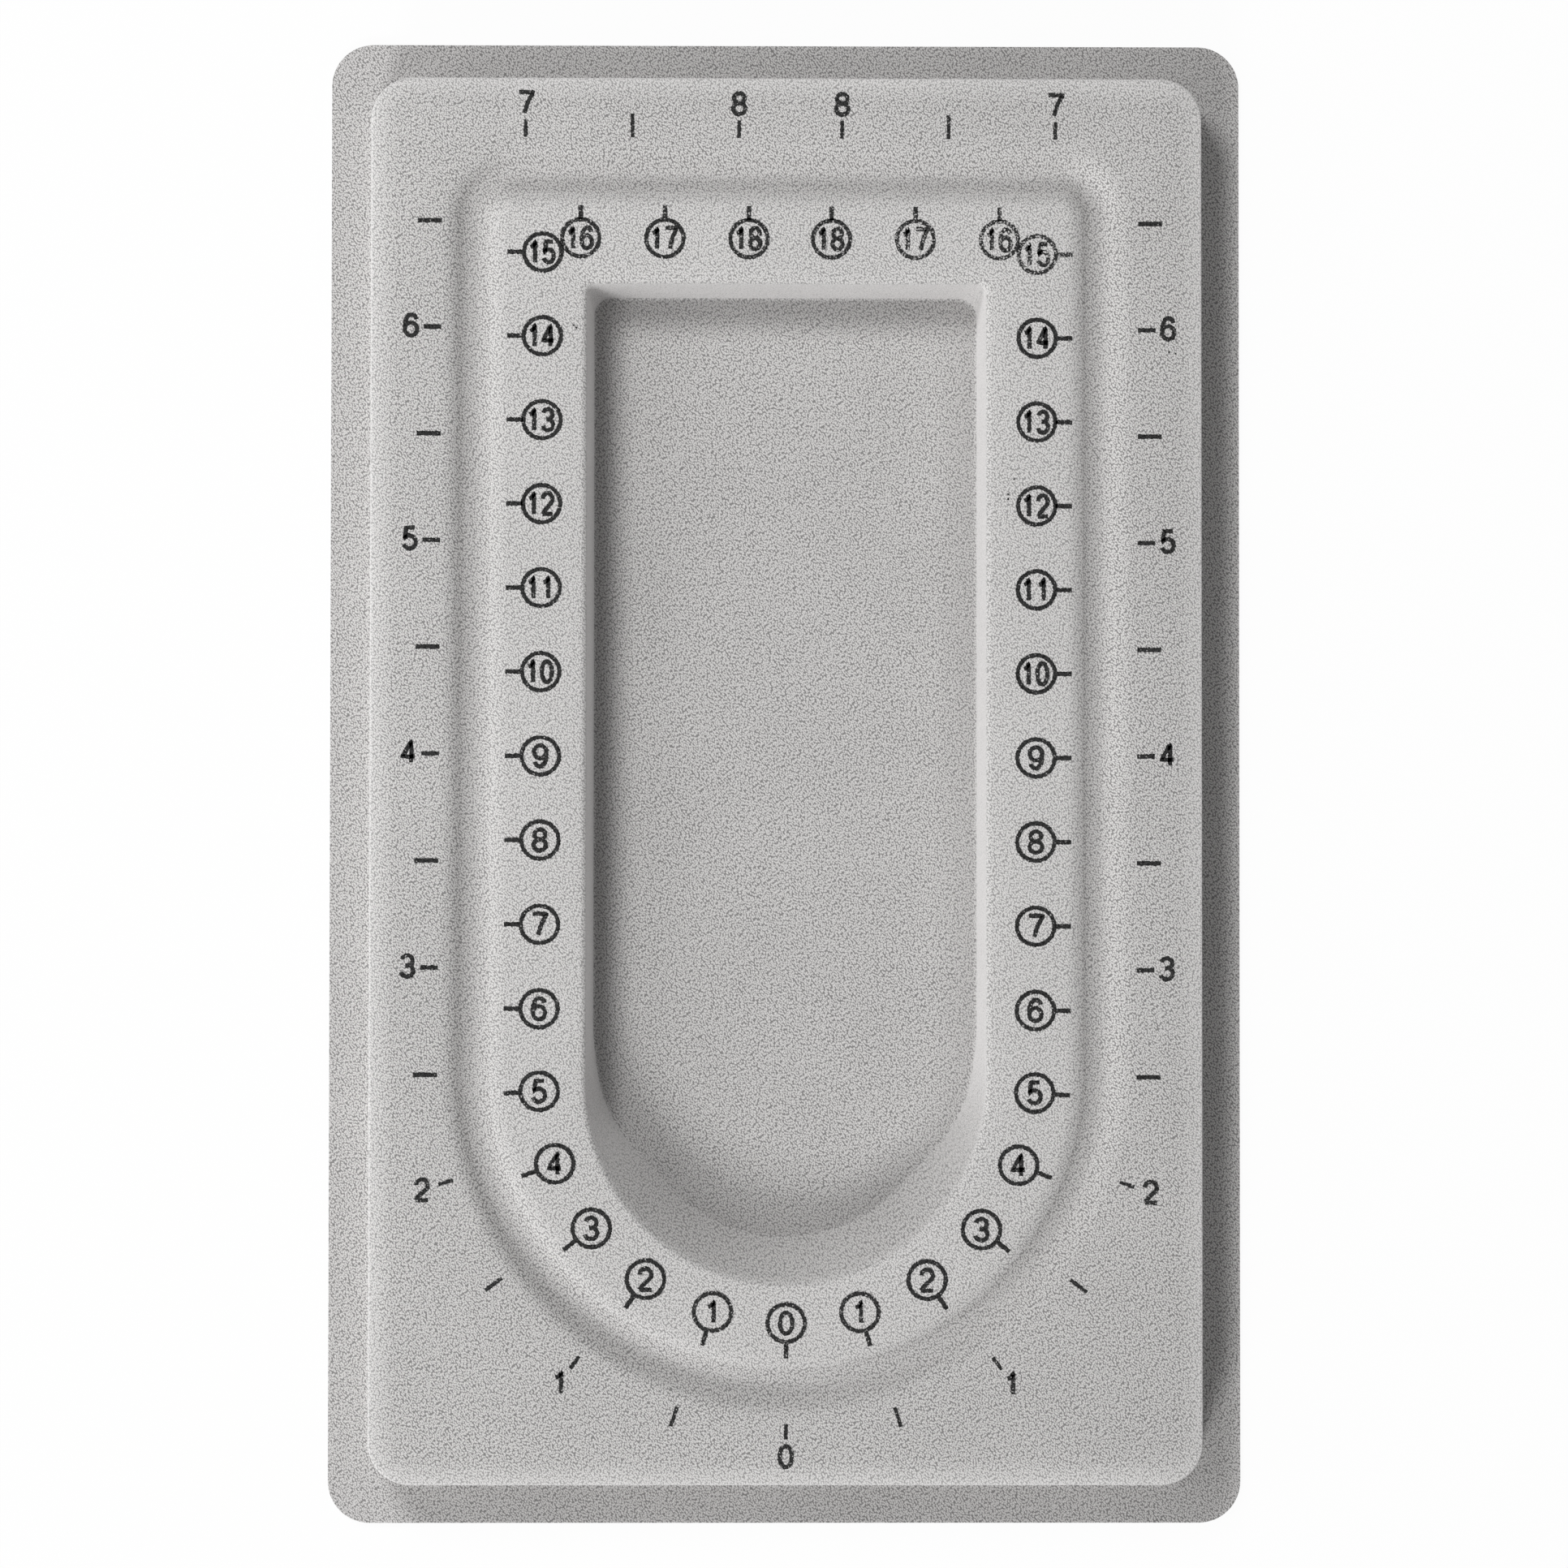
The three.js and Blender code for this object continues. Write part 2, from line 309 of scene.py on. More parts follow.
def groove_profile(_station):
    """From the deck through the groove to the inner deck."""
    slope, edge_radius, floor_radius = groove_radii()
    edge_centre = DECK_HEIGHT - edge_radius
    floor_centre = DECK_HEIGHT - GROOVE_DEPTH + floor_radius
    outer = bend(GROOVE_HALF_WIDTH, edge_centre, edge_radius, 0, -slope, EDGE_STEPS)
    # Painted shade in the groove's floor, painted highlight over its inner edge onto the inner deck
    fall = bend(0, floor_centre, -floor_radius, -slope, 0, HOLLOW_STEPS, 0, 0, -GROOVE_PAINTED_SHADE)
    rise = bend(0, floor_centre, -floor_radius, 0, slope, HOLLOW_STEPS, 0, -GROOVE_PAINTED_SHADE, 0)
    inner = bend(-GROOVE_HALF_WIDTH, edge_centre, edge_radius, slope, 0, EDGE_STEPS, 0,
                 INNER_EDGE_HIGHLIGHT, INNER_DECK_HIGHLIGHT)
    return outer + fall[1:] + rise[1:] + inner[1:]


def well_run(draft):
    """How far the well's floor lies inside its opening where the wall has a draft."""
    slope = math.radians(90 - draft)
    bends = WELL_EDGE_RADIUS + LAMINATE + WELL_FLOOR_RADIUS
    return bends * math.tan(slope / 2) + WELL_DEPTH / math.tan(slope)


def well_profile(station):
    """From the inner deck over the well's lip and down the wall, or the scooped ramp, to the floor."""
    y = station[1]
    normal_y = station[3]
    lead = SCOOP_LEAD - max(y - WELL_ROUND_CENTRE, 0)
    turn = math.asin(max(-normal_y, 0))
    scoop = smoothstep(lead + WELL_REACH * turn, 0, SCOOP_BLEND_LENGTH)
    draft = WELL_DRAFT + (SCOOP_DRAFT - WELL_DRAFT) * scoop
    slope = math.radians(90 - draft)
    edge_radius = WELL_EDGE_RADIUS + LAMINATE
    floor_centre = DECK_HEIGHT - WELL_DEPTH + WELL_FLOOR_RADIUS
    rounding = WELL_FLOOR_CORNER_RADIUS + well_run(WELL_DRAFT) - WELL_OPENING_CORNER_RADIUS
    deck_centre = DECK_HEIGHT - edge_radius
    edge_centre = deck_centre - shoulder_drop(WELL_SHOULDER_LEAN)
    # Painted highlight on the inner deck, the shoulder and the lip; painted shade low on the wall and along
    # its foot, fading out over the floor
    shoulder = Section(SHOULDER_REACH, deck_centre, edge_radius, 0, 0, INNER_DECK_HIGHLIGHT)
    edge = bend(0, edge_centre, edge_radius, -WELL_SHOULDER_LEAN, -slope, EDGE_STEPS, 0,
                WELL_SHOULDER_HIGHLIGHT, WELL_EDGE_HIGHLIGHT)
    wall_rounding = HIGHLIGHT_DROP / WELL_DEPTH * rounding
    wall_out = -HIGHLIGHT_DROP / math.tan(slope)
    wall = Section(wall_out, edge_centre - HIGHLIGHT_DROP, edge_radius, -slope, wall_rounding)
    foot_end = -well_run(draft)
    foot = bend(foot_end, floor_centre, -WELL_FLOOR_RADIUS, -slope, 0, HOLLOW_STEPS, rounding,
                -WALL_PAINTED_SHADE, -FOOT_PAINTED_SHADE)
    floor = Section(foot_end - FOOT_SHADE_REACH, floor_centre, -WELL_FLOOR_RADIUS, 0, rounding + FOOT_SHADE_REACH)
    return [shoulder] + edge + [wall] + foot + [floor]


# Outlines: stations (x, y, normal_x, normal_y, rounding_x, rounding_y), anticlockwise. The last two say how
# far a station moves where its corner gets one millimetre rounder between sides that stay in place.

def arc_stations(x, y, radius, angle_from, angle_to, steps):
    stations = []
    for angle in np.radians(np.linspace(angle_from, angle_to, steps + 1)):
        normal_x = math.cos(angle)
        normal_y = math.sin(angle)
        stations.append((x + radius * normal_x, y + radius * normal_y, normal_x, normal_y, 0, 0))
    return stations


def corner_stations(x, y, radius, quarter):
    stations = []
    for station in arc_stations(x, y, radius, 90 * quarter, 90 * quarter + 90, CORNER_STEPS):
        _, _, normal_x, normal_y, _, _ = station
        rounding = (normal_x - math.copysign(1, x), normal_y - math.copysign(1, y))
        stations.append(station[:4] + rounding)
    return stations


def rounded_rectangle(width, length, radius):
    x = width / 2 - radius
    y = length / 2 - radius
    corners = [(x, y), (-x, y), (-x, -y), (x, -y)]
    stations = []
    for quarter, (corner_x, corner_y) in enumerate(corners):
        stations += corner_stations(corner_x, corner_y, radius, quarter)
    return stations


def arch(reach, top, radius, round_centre, leads):
    """Two rounded corners, straight sides with stations at `leads` above the round end, and a half circle."""
    left = [(-reach, round_centre + lead, -1, 0, 0, 0) for lead in leads]
    right = [(reach, round_centre + lead, 1, 0, 0, 0) for lead in reversed(leads)]
    return (
        corner_stations(reach - radius, top - radius, radius, 0)
        + corner_stations(radius - reach, top - radius, radius, 1)
        + left
        + arc_stations(0, round_centre, reach, 180, 360, ROUND_END_STEPS)
        + right
    )


def swept_rings(stations, profile_at, offset):
    """Rings of points where a cross-section is carried round an outline, from the outermost inwards."""
    columns = []
    for station in stations:
        x, y, normal_x, normal_y, rounding_x, rounding_y = station
        column = []
        for point in profile_at(station):
            reach = point.radius + offset
            out = point.outwards + reach * math.sin(point.lean)
            column.append((
                x + out * normal_x + point.rounding * rounding_x,
                y + out * normal_y + point.rounding * rounding_y,
                point.height + reach * math.cos(point.lean),
            ))
        columns.append(column)
    return [list(ring) for ring in zip(*columns)]


def rim_edge(offset):
    """The rim's outline, at an offset through the laminate."""
    outline = rounded_rectangle(DECK_WIDTH + 2 * RIM_BORDER, DECK_LENGTH + 2 * RIM_BORDER, RIM_CORNER_RADIUS)
    return [(station[0], station[1], LAMINATE + offset) for station in outline]


class Shell:
    """Vertices and faces of one closed layer, gathered ring by ring."""

    def __init__(self):
        self.vertices = []
        self.faces = []
        self.splay = []

    def add_ring(self, points, splay):
        start = len(self.vertices)
        self.vertices += points
        self.splay += [splay] * len(points)
        return list(range(start, len(self.vertices)))

    def add_sweep(self, stations, profile_at, offset):
        """Rings of a swept cross-section, each with one painted highlight or painted shade all the way round.
        """
        rings = swept_rings(stations, profile_at, offset)
        return [self.add_ring(ring, point.splay) for ring, point in zip(rings, profile_at(stations[0]))]

    def band(self, outer, inner, flip):
        for here, _ in enumerate(outer):
            there = (here + 1) % len(outer)
            face = (outer[here], outer[there], inner[there], inner[here])
            self.faces.append(face[::-1] if flip else face)

    def bands(self, rings, flip):
        for outer, inner in zip(rings, rings[1:]):
            self.band(outer, inner, flip)

    def flat(self, rings, flip):
        """A level surface inside the first ring and outside the other one."""
        indices = [index for ring in rings for index in ring]
        loops = [[Vector(self.vertices[index]) for index in ring] for ring in rings]
        for triangle in geometry.tessellate_polygon(loops):
            a, b, c = (indices[corner] for corner in triangle)
            pa, pb, pc = (self.vertices[index] for index in (a, b, c))
            faces_up = (pb[0] - pa[0]) * (pc[1] - pa[1]) > (pb[1] - pa[1]) * (pc[0] - pa[0])
            self.faces.append((a, b, c) if faces_up != flip else (a, c, b))

    def formed_face(self, offset, flip):
        """One whole face of the formed sheet. Returns its outermost ring."""
        deck = rounded_rectangle(DECK_WIDTH, DECK_LENGTH, DECK_CORNER_RADIUS)
        groove = arch(GROOVE_REACH, GROOVE_TOP, GROOVE_CORNER_RADIUS, GROOVE_ROUND_CENTRE, [])
        leads = list(np.linspace(SCOOP_LEAD, 0, SCOOP_LEAD_STEPS, endpoint=False))
        well = arch(WELL_REACH, WELL_TOP, WELL_OPENING_CORNER_RADIUS, WELL_ROUND_CENTRE, leads)
        edge_radius = DECK_EDGE_RADIUS + LAMINATE if offset < 0 else DECK_FRINGE_RADIUS
        # The rim's ring carries the rim's painted shade
        rim_ring = self.add_ring(rim_edge(offset), -RIM_PAINTED_SHADE)
        skirt_rings = self.add_sweep(deck, partial(skirt_profile, edge_radius), offset)
        groove_rings = self.add_sweep(groove, groove_profile, offset)
        well_rings = self.add_sweep(well, well_profile, offset)
        self.flat([rim_ring, skirt_rings[0]], flip)
        self.bands(skirt_rings, flip)
        self.flat([skirt_rings[-1], groove_rings[0]], flip)
        self.bands(groove_rings, flip)
        self.flat([groove_rings[-1], well_rings[0]], flip)
        self.bands(well_rings, flip)
        self.flat([well_rings[-1]], flip)
        return rim_ring


def add_mesh(name, vertices, faces, material):
    mesh = bpy.data.meshes.new(name)
    mesh.from_pydata([Vector(vertex) * MM for vertex in vertices], [], faces)
    mesh.materials.append(material)
    mesh.shade_smooth()
    piece = bpy.data.objects.new(name, mesh)
    bpy.context.scene.collection.objects.link(piece)
    return piece


def add_attribute(piece, name, values):
    attribute = piece.data.attributes.new(name, "FLOAT", "POINT")
    attribute.data.foreach_set("value", values)


def add_layer(name, low_offset, high_offset, material, node):
    shell = Shell()
    high_edge = shell.formed_face(high_offset, False)
    low_edge = shell.formed_face(low_offset, True)
    shell.band(low_edge, high_edge, False)
    piece = add_mesh(name, shell.vertices, shell.faces, material)
    piece.data.set_sharp_from_angle(angle=SHARP_ANGLE)
    add_attribute(piece, "splay", shell.splay)
    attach(piece, "root")
    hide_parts(node)


# Ink lies on the flock, so it follows the deck, its outer shoulder and the upper edge of the groove

def groove_distance(x, y):
    """Distance from the groove's centreline, below 0 on its inner side."""
    if y < GROOVE_ROUND_CENTRE:
        return math.hypot(x, y - GROOVE_ROUND_CENTRE) - GROOVE_REACH
    across = abs(x) - GROOVE_REACH + GROOVE_CORNER_RADIUS
    along = y - GROOVE_TOP + GROOVE_CORNER_RADIUS
    inside = min(max(across, along), 0)
    return inside + math.hypot(max(across, 0), max(along, 0)) - GROOVE_CORNER_RADIUS


def shoulder_fall(x, y):
    """How far the deck falls away on the shoulder beside its outer edge."""
    from_edge = min(DECK_WIDTH / 2 - abs(x), DECK_LENGTH / 2 - abs(y)) - DECK_FRINGE_RADIUS
    return max(1 - from_edge / SHOULDER_REACH, 0) * shoulder_drop(DECK_SHOULDER_LEAN)


def deck_height(x, y):
    """Height of the flock on the deck, its outer shoulder and in the groove."""
    slope, edge_radius, floor_radius = groove_radii()
    off_centre = abs(groove_distance(x, y))
    if off_centre >= GROOVE_HALF_WIDTH:
        return DECK_HEIGHT - shoulder_fall(x, y)
    if off_centre <= floor_radius * math.sin(slope):
        return DECK_HEIGHT - GROOVE_DEPTH + floor_radius - math.sqrt(floor_radius ** 2 - off_centre ** 2)
    return DECK_HEIGHT - edge_radius + math.sqrt(edge_radius ** 2 - (GROOVE_HALF_WIDTH - off_centre) ** 2)


def oval(x, y, radius_x, radius_y, angle_from, angle_to):
    angles = np.radians(np.linspace(angle_from, angle_to, OVAL_STEPS + 1))
    return [(x + radius_x * math.cos(a), y + radius_y * math.sin(a)) for a in angles]


SIX = [
    oval(0.5, 0.31, 0.5, 0.31, 0, 360),
    oval(0.52, 0.72, 0.42, 0.28, 12, 120) + [(0.13, 0.82), (0.03, 0.62), (0.0, 0.4)],
]
NUMERAL_STROKES = {
    "0": [oval(0.5, 0.5, 0.5, 0.5, 0, 360)],
    "1": [[(0.14, 0.74), (0.37, 0.78), (0.51, 0.87), (0.6, 1.0), (0.6, 0.0)]],
    "2": [
        oval(0.5, 0.71, 0.47, 0.29, 178, -28) + [(0.55, 0.36), (0.2, 0.16), (0.02, 0.0)],
        [(0.0, 0.0), (1.0, 0.0)],
    ],
    "3": [oval(0.48, 0.76, 0.44, 0.24, 165, -80) + [(0.32, 0.52)], oval(0.48, 0.27, 0.5, 0.27, 85, -168)],
    "4": [[(0.72, 0.0), (0.72, 1.0), (0.0, 0.28), (1.0, 0.28)]],
    "5": [[(0.9, 1.0), (0.2, 1.0), (0.08, 0.47)] + oval(0.48, 0.32, 0.5, 0.31, 140, -160)],
    "6": SIX,
    "7": [[(-0.06, 1.0), (1.1, 1.0), (0.64, 0.5), (0.4, 0.0)]],
    "8": [oval(0.5, 0.765, 0.43, 0.235, 0, 360), oval(0.5, 0.265, 0.5, 0.265, 0, 360)],
    "9": [[(1 - u, 1 - v) for u, v in stroke] for stroke in SIX],
}


def resampled(path):
    """The same path with points no further apart than the ink's step."""
    points = [path[0]]
    for (x0, y0), (x1, y1) in zip(path, path[1:]):
        pieces = max(1, math.ceil(math.hypot(x1 - x0, y1 - y0) / INK_STEP))
        points += [(x0 + (x1 - x0) * k / pieces, y0 + (y1 - y0) * k / pieces) for k in range(1, pieces + 1)]
    return np.array(points)


def unit(vectors):
    return vectors / np.linalg.norm(vectors, axis=1)[:, None]


class Ink:
    """One printed scale: every line of it is a thin closed ribbon on the flock."""

    def __init__(self, seed):
        self.vertices = []
        self.faces = []
        self.wear = []
        self.lines = 0
        self.random = np.random.default_rng(seed)

    def line(self, path, width, wear):
        path = resampled(path)
        closed = np.allclose(path[0], path[-1])
        if closed:
            path = path[:-1]
        ahead = np.roll(path, -1, axis=0) - path
        behind = path - np.roll(path, 1, axis=0)
        if not closed:
            ahead[-1] = behind[-1]
            behind[0] = ahead[0]
        tangent = unit(unit(ahead) + unit(behind))
        across = np.column_stack([-tangent[:, 1], tangent[:, 0]])
        half_widths = width / 2 + self.random.uniform(-INK_RAGGEDNESS, INK_RAGGEDNESS, (len(path), 2))
        left = path + across * half_widths[:, :1]
        right = path - across * half_widths[:, 1:]
        lift = INK_LIFT + STROKE_LIFT * (self.lines % STROKE_LEVELS)
        self.ribbon(left, right, lift, closed)
        self.wear += [wear] * (RIBBON_CORNERS * len(path))
        self.lines += 1

    def ribbon(self, left, right, lift, closed):
        start = len(self.vertices)
        for rail_left, rail_right in zip(left, right):
            self.vertices.append(self.on_deck(*rail_left, lift))
            self.vertices.append(self.on_deck(*rail_right, lift))
            self.vertices.append(self.on_deck(*rail_right, -INK_SINK))
            self.vertices.append(self.on_deck(*rail_left, -INK_SINK))
        count = len(left)
        for here in range(count if closed else count - 1):
            there = (here + 1) % count
            for side in range(RIBBON_CORNERS):
                next_side = (side + 1) % RIBBON_CORNERS
                corners = ((here, side), (here, next_side), (there, next_side), (there, side))
                self.faces.append([start + RIBBON_CORNERS * station + corner for station, corner in corners])
        if not closed:
            last = start + RIBBON_CORNERS * (count - 1)
            self.faces.append((start + 3, start + 2, start + 1, start))
            self.faces.append((last, last + 1, last + 2, last + 3))

    def on_deck(self, x, y, rise):
        turned_x = x * math.cos(PRINT_TURN) - y * math.sin(PRINT_TURN) + PRINT_SHIFT[0]
        turned_y = x * math.sin(PRINT_TURN) + y * math.cos(PRINT_TURN) + PRINT_SHIFT[1]
        return turned_x, turned_y, deck_height(turned_x, turned_y) + rise

    def tick(self, start, end, wear, width=TICK_WIDTH):
        self.line([start, end], width, wear)

    def ring(self, x, y, wear):
        self.line(oval(x, y, RING_DIAMETER / 2, RING_DIAMETER / 2, 0, 360), RING_LINE_WIDTH, wear)

    def numeral(self, digit, x, y, width, wear):
        left = x - width / 2
        low = y - NUMERAL_HEIGHT / 2
        for stroke in NUMERAL_STROKES[digit]:
            path = [(left + u * width, low + v * NUMERAL_HEIGHT) for u, v in stroke]
            self.line(path, NUMERAL_LINE_WIDTH, wear)

    def number(self, value, x, y, wear):
        if value < 10:
            self.numeral(str(value), x, y, NUMERAL_WIDTH, wear)
            return
        for side, digit in zip((-1, 1), str(value)):
            centre = x + PAIR_SHIFT + side * PAIRED_NUMERAL_PITCH / 2
            self.numeral(digit, centre, y, PAIRED_NUMERAL_WIDTH, wear)

    def add_piece(self, name, material):
        piece = add_mesh(name, self.vertices, self.faces, material)
        piece.data.set_sharp_from_angle(angle=SHARP_ANGLE)
        add_attribute(piece, "wear", self.wear)
        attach(piece, "root")


def centimetre_scale(material):
    ink = Ink(seed=1)
    for side in (-1, 1):
        for mark in range(0 if side > 0 else 1, CM_ARC_MARKS + 1):
            angle = mark * CM_ARC_PITCH
            out_x = side * math.sin(angle)
            out_y = -math.cos(angle) * ARC_FLATNESS
            x = CM_RING_REACH * out_x
            y = ARC_CENTRE + CM_RING_REACH * out_y
            wear = CM_LOW_WEAR if mark < CM_LOW_MARKS else CM_WEAR
            ink.ring(x, y, wear)
            ink.number(mark, x, y, wear)
            ring_edge = CM_RING_REACH + RING_DIAMETER / 2
            ink.tick((ring_edge * out_x, ARC_CENTRE + ring_edge * out_y),
                     (CM_TICK_END * out_x, ARC_CENTRE + CM_TICK_END * out_y), wear)
        for mark in range(CM_ARC_MARKS + 1, CM_LAST_MARK + 1):
            x = side * CM_RING_REACH
            y = CM_LAST_STRAIGHT - CM_PITCH * (CM_LAST_MARK - mark)
            wear = CM_CORNER_WEAR if side > 0 and mark == CM_LAST_MARK else CM_WEAR
            ink.ring(x, y, wear)
            ink.number(mark, x, y, wear)
            ink.tick((x + side * RING_DIAMETER / 2, y), (side * CM_TICK_END, y), wear)
        for mark, reach in CM_TOP_MARKS.items():
            wear = CM_TOP_WEAR[mark][(side + 1) // 2]
            ink.ring(side * reach, CM_TOP_ROW, wear)
            ink.number(mark, side * reach, CM_TOP_ROW, wear)
            ink.tick((side * reach, CM_TOP_ROW + RING_DIAMETER / 2), (side * reach, CM_TOP_TICK_END), wear)
    ink.add_piece("centimetre_scale", material)


def inch_scale(material):
    ink = Ink(seed=2)
    for side in (-1, 1):
        for half_inches in range(INCH_ARC_HALVES + 1, INCH_LAST_HALF + 1):
            whole = half_inches % 2 == 0
            y = INCH_LAST_STRAIGHT - INCH_PITCH * (INCH_LAST_HALF - half_inches) / 2
            length = INCH_TICK if whole else HALF_INCH_TICK
            ink.tick((side * INCH_TICK_START, y), (side * (INCH_TICK_START + length), y), INCH_WEAR)
            if whole:
                ink.number(half_inches // 2, side * INCH_NUMERAL_REACH, y + INCH_NUMERAL_RISE, INCH_WEAR)
        for half_inches in range(0 if side > 0 else 1, INCH_ARC_HALVES + 1):
            angle = INCH_ARC_PITCH * half_inches
            out_x = side * math.sin(angle)
            out_y = -math.cos(angle) * ARC_FLATNESS
            whole = half_inches % 2 == 0
            far = INCH_TICK_START + (INCH_ARC_TICK if whole else HALF_INCH_ARC_TICK)
            ink.tick((INCH_TICK_START * out_x, ARC_CENTRE + INCH_TICK_START * out_y),
                     (far * out_x, ARC_CENTRE + far * out_y), INCH_ARC_WEAR, FINE_TICK_WIDTH)
            if whole:
                x = INCH_ARC_NUMERAL_REACH * out_x
                y = ARC_CENTRE + INCH_ARC_NUMERAL_REACH * out_y
                ink.number(half_inches // 2, x, y, INCH_ARC_NUMERAL_WEAR)
        for number, reach in INCH_TOP_MARKS:
            length = INCH_TICK if number else HALF_INCH_TICK
            x = side * reach
            ink.tick((x, INCH_TOP_ROW), (x, INCH_TOP_ROW + length), INCH_TOP_WEAR, FINE_TICK_WIDTH)
            if number:
                ink.number(number, x, INCH_TOP_NUMERALS, INCH_TOP_WEAR)
    for x, y in INK_SPECKS:
        ink.line([(x - INK_SPECK / 2, y), (x + INK_SPECK / 2, y)], INK_SPECK, INCH_WEAR)
    ink.add_piece("inch_scale", material)


# Materials

class Nodes:
    """A material's node tree, with short ways to add nodes and link them."""

    def __init__(self, name):
        self.material = bpy.data.materials.new(name)
        self.material.use_nodes = True
        self.tree = self.material.node_tree
        self.shader = self.tree.nodes["Principled BSDF"]

    def set(self, node, socket, value):
        if isinstance(value, bpy.types.NodeSocket):
            self.tree.links.new(value, node.inputs[socket])
        else:
            node.inputs[socket].default_value = value

    def add(self, kind, **inputs):
        node = self.tree.nodes.new(kind)
        for socket, value in inputs.items():
            self.set(node, socket.replace("_", " "), value)
        return node

    def finish(self, **inputs):
        for socket, value in inputs.items():
            self.set(self.shader, socket.replace("_", " "), value)
        return self.material

    def attribute(self, name):
        node = self.add("ShaderNodeAttribute")
        node.attribute_name = name
        return node.outputs["Fac"]

    def depth_share(self, high, low):
        """0 from the height `high` up and 1 from the height `low` down, in millimetres."""
        place = self.add("ShaderNodeTexCoord").outputs["Object"]
        height = self.add("ShaderNodeSeparateXYZ", Vector=place).outputs["Z"]
        return self.remap(height, high * MM, low * MM)

    def noise(self, feature):
        """Noise whose grains have the size `feature`, in millimetres."""
        place = self.add("ShaderNodeTexCoord").outputs["Object"]
        return self.add("ShaderNodeTexNoise", Vector=place, Scale=1 / (feature * MM)).outputs[0]

    def tips(self, place, size, dimensions):
        """Height of fibres that stand side by side: 1 at the tip of each, and lower round it."""
        scale = [1 / (length * MM) for length in size]
        scaled = self.add("ShaderNodeMapping", Vector=place, Scale=scale).outputs[0]
        cells = self.add("ShaderNodeTexVoronoi", Vector=scaled, Scale=1.0)
        cells.voronoi_dimensions = dimensions
        return self.math("SUBTRACT", 1.0, cells.outputs["Distance"])

    def fibres(self):
        """Tips of the flock's fibres: long ones seen from above, and round ones on steep walls, where the
        cut through them is lower and rougher and is brought up to match."""
        place = self.add("ShaderNodeTexCoord").outputs["Object"]
        turned = self.add("ShaderNodeMapping", Vector=place, Rotation=(0, 0, FIBRE_TURN)).outputs[0]
        level = self.tips(turned, (FIBRE_WIDTH, FIBRE_LENGTH, FIBRE_LENGTH), "2D")
        steep = self.remap(self.tips(place, (WALL_FIBRE, WALL_FIBRE, WALL_FIBRE), "3D"), 0.0, 1.0, *WALL_TIPS)
        normal = self.add("ShaderNodeNewGeometry").outputs["Normal"]
        rise = self.add("ShaderNodeSeparateXYZ", Vector=normal).outputs["Z"]
        return self.remap(rise, *WALL_RISE, steep, level)

    def remap(self, value, low, high, to_low=0.0, to_high=1.0):
        ends = {"From_Min": low, "From_Max": high, "To_Min": to_low, "To_Max": to_high}
        return self.add("ShaderNodeMapRange", Value=value, **ends).outputs[0]

    def math(self, operation, first, second):
        node = self.add("ShaderNodeMath")
        node.operation = operation
        self.set(node, 0, first)
        self.set(node, 1, second)
        return node.outputs[0]

    def mix(self, share, first, second):
        """A colour between two others. The node has sockets for each kind of value, so they go by number."""
        node = self.add("ShaderNodeMix")
        node.data_type = "RGBA"
        self.set(node, 0, share)
        self.set(node, 6, first)
        self.set(node, 7, second)
        return node.outputs[2]

    def raised_normal(self, share):
        """The surface's normal, turned towards straight up by a share."""
        node = self.add("ShaderNodeMix")
        node.data_type = "VECTOR"
        self.set(node, 0, share)
        self.set(node, 4, self.add("ShaderNodeNewGeometry").outputs["Normal"])
        self.set(node, 5, (0, 0, 1))
        normalize = self.add("ShaderNodeVectorMath", Vector=node.outputs[1])
        normalize.operation = "NORMALIZE"
        return normalize.outputs[0]

    def bump(self, height, strength, distance, **normal):
        lengths = {"Strength": strength, "Distance": distance * MM}
        return self.add("ShaderNodeBump", Height=height, **lengths, **normal).outputs[0]


def flock_nap(nodes):
    """Height and paleness of the flock: fibres that are paler at their tips, in faint broad patches."""
    height = nodes.fibres()
    patches = nodes.math("MULTIPLY", nodes.noise(PATCH_SIZE), PATCH_SHARE)
    return height, nodes.remap(nodes.math("ADD", height, patches), *NAP_RANGE)


def velvet(nodes, share):
    """Colour of the flock. Painted shade: a little darker the lower it lies, and darker where the painted
    light is below 0. Painted highlight and painted sheen: the pale colour where the painted light is above 0,
    over edges, shoulders and the inner deck, and where the nap is seen at a slant."""
    splay = nodes.attribute("splay")
    nap = nodes.mix(share, FLOCK_SHADE, FLOCK_TIP)
    depth = nodes.depth_share(DECK_HEIGHT - LOW_SHADE_DEPTH, LAMINATE)
    low_shade = nodes.math("MULTIPLY", depth, LOW_SHADE_DARKNESS)
    # Painted shade: the nap darkened the lower it lies and where the painted light is below 0
    upright = nodes.mix(nodes.math("SUBTRACT", low_shade, splay), nap, FLOCK_SHADE)
    # Pale colour for the painted highlight and the painted sheen
    side = nodes.mix(share, PAINTED_SHEEN_DIM, PAINTED_SHEEN_BRIGHT)
    # Painted sheen where the nap is seen at a slant, painted highlight where the painted light is above 0
    facing = nodes.add("ShaderNodeLayerWeight", Blend=0.5).outputs["Facing"]
    slant = nodes.math("POWER", facing, VELVET_RISE)
    return nodes.mix(slant, nodes.mix(splay, upright, side), side)


def flock_material():
    nodes = Nodes("flock")
    height, share = flock_nap(nodes)
    raise_share = nodes.math("MULTIPLY", nodes.attribute("splay"), SPLAY_RAISE)
    return nodes.finish(
        Base_Color=velvet(nodes, share),
        Roughness=1.0,
        Specular_IOR_Level=0.1,
        Sheen_Weight=SHEEN,
        Sheen_Roughness=SHEEN_ROUGHNESS,
        Sheen_Tint=SHEEN_TINT,
        Normal=nodes.bump(height, strength=0.5, distance=0.08, Normal=nodes.raised_normal(raise_share)),
    )


